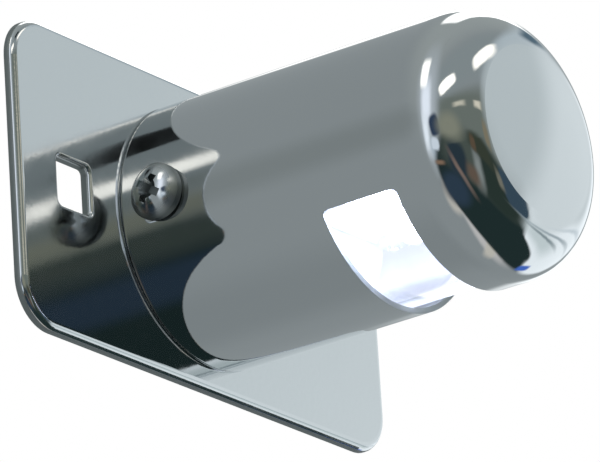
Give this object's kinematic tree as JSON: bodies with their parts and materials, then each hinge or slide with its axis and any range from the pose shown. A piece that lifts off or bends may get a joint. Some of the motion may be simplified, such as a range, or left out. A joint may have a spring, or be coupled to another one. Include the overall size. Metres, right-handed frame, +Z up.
{
  "type": "number plate lamp",
  "caption": "Chromed number plate lamp: a round drawn hood with a lit window in its underside, on a flat plate with a square bolt hole at each end.",
  "frame": {"origin": "centre of the grommet's bore at the mounting plate's back face, on the hood's axis", "axes": "+Y out of the back of the plate along the hood's axis, -Y towards the hood's nose, +X along the plate's long side, +Z up, with the window facing down"},
  "size_m": [0.082, 0.0595, 0.045],
  "materials": {
    "chromed_plate": "bright chrome plating on pressed steel",
    "chromed_hood": "bright chrome plating on drawn steel",
    "screw_steel": "polished stainless steel",
    "zinc_steel": "bright zinc-plated steel",
    "black_rubber": "matt black rubber",
    "clear_lens": "clear moulded polycarbonate",
    "white_moulding": "white moulded plastic",
    "reflector_white": "gloss white moulded plastic",
    "board_green": "green solder mask on glass laminate",
    "led_lit": "clear epoxy, lit cool white",
    "resistor_body": "beige lacquer with tinned legs",
    "diode_black": "black moulding with tinned legs",
    "tinned_brass": "tinned brass"
  },
  "bodies": {
    "root": {"mounting_plate": "chromed_plate", "hood": "chromed_hood", "hood_screws": "screw_steel", "hood_bracket": "zinc_steel", "plate_screws": "zinc_steel", "carrier_screws": "zinc_steel", "board_screws": "zinc_steel", "lead_grommet": "black_rubber", "carrier_seal": "black_rubber", "lead_seal": "black_rubber", "lens": "clear_lens", "led_carrier": "white_moulding", "reflector": "reflector_white", "led_board": "board_green", "led_1": "led_lit", "led_2": "led_lit", "led_3": "led_lit", "resistor_1": "resistor_body", "resistor_2": "resistor_body", "polarity_diode": "diode_black", "lead_pins": "tinned_brass"}
  },
  "joints": []
}
